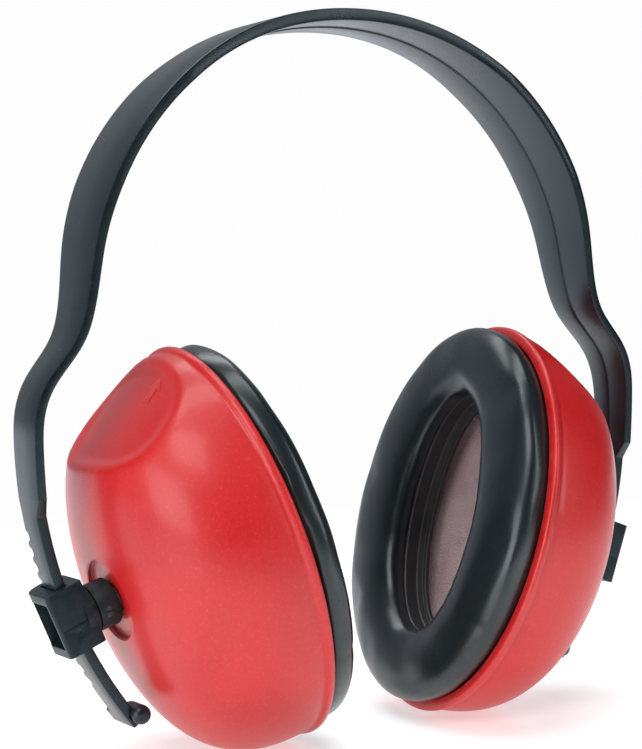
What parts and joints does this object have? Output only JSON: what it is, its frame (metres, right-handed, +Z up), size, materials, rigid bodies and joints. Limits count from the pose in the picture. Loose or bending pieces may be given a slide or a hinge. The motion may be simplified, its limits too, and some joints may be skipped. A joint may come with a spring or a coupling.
{
  "type": "earmuff hearing protector",
  "caption": "Headband earmuff: black sprung arch with notched arms, sliders and pivoting red oval cups with soft black ear cushions and foam inside.",
  "frame": {"origin": "midway between the cups, on the surface that the two cups stand on", "axes": "+Z up to the top of the arch, +X to the right-hand cup, -Y is the front"},
  "size_m": [0.1914, 0.086, 0.1987],
  "materials": {
    "band_plastic": "black moulded plastic, satin, fine grain",
    "slider_plastic": "black moulded plastic, matt, fine grain",
    "pivot_plastic": "dark grey moulded plastic, matt",
    "pin_plastic": "dark grey moulded plastic, satin",
    "stud_plastic": "natural grey moulded plastic, satin",
    "cup_plastic": "red moulded plastic with a fine textured satin skin",
    "seal_rubber": "soft black rubber, matt",
    "liner_foam": "open cell sound absorbing foam, pinkish grey",
    "plate_plastic": "black moulded plastic, matt",
    "cushion_foam": "soft closed cell foam, cream",
    "cushion_vinyl": "soft black vinyl skin, satin, fine creases"
  },
  "bodies": {
    "band": {"headband": "band_plastic"},
    "slider_right": {"slider_right": "slider_plastic"},
    "stub_right": {"pivot_stub_right": "pivot_plastic", "lock_pin_right": "pin_plastic", "ball_stud_right": "stud_plastic"},
    "cup_right": {"cup_shell_right": "cup_plastic", "ball_retainer_right": "stud_plastic", "pivot_seal_right": "seal_rubber", "foam_liner_right": "liner_foam", "cushion_plate_right": "plate_plastic", "cushion_foam_right": "cushion_foam", "cushion_skin_right": "cushion_vinyl"},
    "slider_left": {"slider_left": "slider_plastic"},
    "stub_left": {"pivot_stub_left": "pivot_plastic", "lock_pin_left": "pin_plastic", "ball_stud_left": "stud_plastic"},
    "cup_left": {"cup_shell_left": "cup_plastic", "ball_retainer_left": "stud_plastic", "pivot_seal_left": "seal_rubber", "foam_liner_left": "liner_foam", "cushion_plate_left": "plate_plastic", "cushion_foam_left": "cushion_foam", "cushion_skin_left": "cushion_vinyl"}
  },
  "joints": [
    {"name": "height_right", "type": "hinge", "parent": "band", "child": "slider_right", "pos_m": [-0.0267, 0, 0.08623], "axis": [0, -1, 0], "range_deg": [-2.5, 8.8]},
    {"name": "swivel_right", "type": "hinge", "parent": "slider_right", "child": "stub_right", "pos_m": [0.07684, 0, 0.0438], "axis": [0.9563, 0, -0.2924], "range_deg": [-20, 20]},
    {"name": "tilt_right", "type": "hinge", "parent": "stub_right", "child": "cup_right", "pos_m": [0.06537, 0, 0.04731], "axis": [0, 1, 0], "range_deg": [-6, 3]},
    {"name": "height_left", "type": "hinge", "parent": "band", "child": "slider_left", "pos_m": [0.0267, 0, 0.08623], "axis": [0, 1, 0], "range_deg": [-2.5, 8.8]},
    {"name": "swivel_left", "type": "hinge", "parent": "slider_left", "child": "stub_left", "pos_m": [-0.07684, 0, 0.0438], "axis": [-0.9563, 0, -0.2924], "range_deg": [-20, 20]},
    {"name": "tilt_left", "type": "hinge", "parent": "stub_left", "child": "cup_left", "pos_m": [-0.06537, 0, 0.04731], "axis": [0, -1, 0], "range_deg": [-6, 3]}
  ]
}
